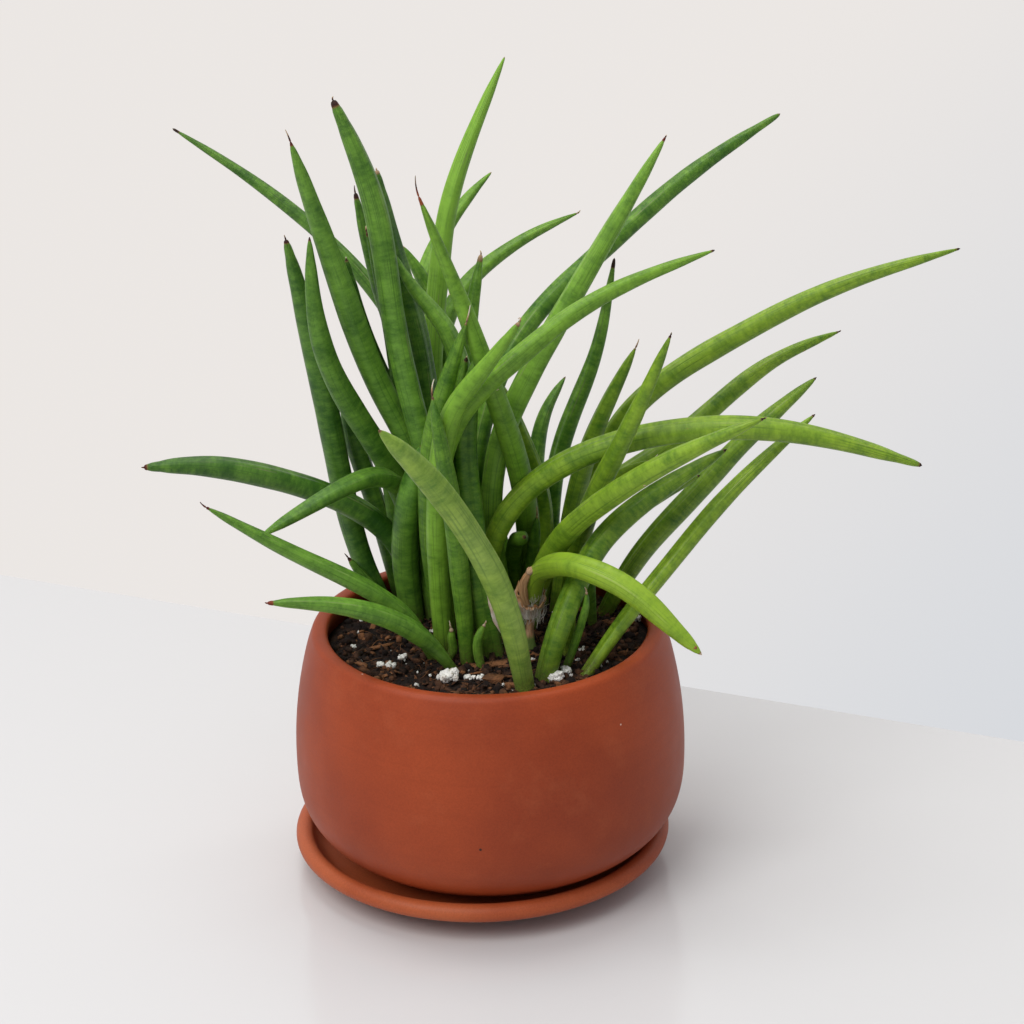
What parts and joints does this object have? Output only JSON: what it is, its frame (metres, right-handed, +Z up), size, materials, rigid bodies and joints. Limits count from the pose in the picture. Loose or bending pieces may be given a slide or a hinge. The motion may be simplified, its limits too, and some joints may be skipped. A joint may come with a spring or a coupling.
{
  "type": "potted snake plant",
  "caption": "Snake plant with upright and arching pencil-shaped leaves, growing in a round-bellied clay pot that stands on a clay saucer.",
  "frame": {"origin": "centre of the saucer's flat underside, on the surface that it rests on", "axes": "+Z up; -Y is the front, where the offset's drooping leaf hangs over the rim; +X is the side with most of the arching leaves"},
  "size_m": [0.311, 0.2013, 0.3018],
  "materials": {
    "clay": "satin",
    "soil": "matte",
    "husk": "matte",
    "leaf_deep": "satin",
    "leaf_mid": "satin",
    "leaf_fresh": "satin"
  },
  "bodies": {
    "root": {"dry_stem": "husk", "leaf_back_01": "leaf_mid", "leaf_back_02": "leaf_mid", "leaf_back_03": "leaf_mid", "leaf_back_04": "leaf_mid", "leaf_back_05": "leaf_mid", "leaf_back_06": "leaf_mid", "leaf_back_07": "leaf_mid", "leaf_back_08": "leaf_mid", "leaf_back_09": "leaf_mid", "leaf_back_10": "leaf_mid", "leaf_centre_01": "leaf_fresh", "leaf_centre_02": "leaf_fresh", "leaf_centre_03": "leaf_fresh", "leaf_centre_04": "leaf_fresh", "leaf_centre_05": "leaf_fresh", "leaf_centre_06": "leaf_fresh", "leaf_centre_07": "leaf_fresh", "leaf_centre_08": "leaf_fresh", "leaf_centre_09": "leaf_fresh", "leaf_centre_10": "leaf_fresh", "leaf_left_01": "leaf_deep", "leaf_left_02": "leaf_deep", "leaf_left_03": "leaf_deep", "leaf_left_04": "leaf_deep", "leaf_left_05": "leaf_deep", "leaf_left_06": "leaf_deep", "leaf_left_07": "leaf_deep", "leaf_left_08": "leaf_deep", "leaf_left_09": "leaf_deep", "leaf_left_10": "leaf_deep", "leaf_left_11": "leaf_deep", "leaf_left_12": "leaf_deep", "leaf_left_13": "leaf_deep", "leaf_left_14": "leaf_deep", "leaf_left_15": "leaf_deep", "leaf_left_16": "leaf_deep", "leaf_left_17": "leaf_deep", "leaf_right_01": "leaf_fresh", "leaf_right_02": "leaf_fresh", "leaf_right_03": "leaf_fresh", "leaf_right_04": "leaf_fresh", "leaf_right_05": "leaf_fresh", "leaf_right_06": "leaf_fresh", "leaf_right_07": "leaf_fresh", "leaf_right_08": "leaf_fresh", "leaf_right_09": "leaf_fresh", "leaf_right_10": "leaf_fresh", "leaf_right_11": "leaf_fresh", "leaf_right_12": "leaf_fresh", "leaf_right_13": "leaf_fresh", "papery_sheath": "husk", "pot": "clay", "potting_soil": "soil", "saucer": "clay", "shoot_01": "leaf_deep", "shoot_02": "leaf_deep", "shoot_03": "leaf_deep", "shoot_04": "leaf_deep"}
  },
  "joints": []
}
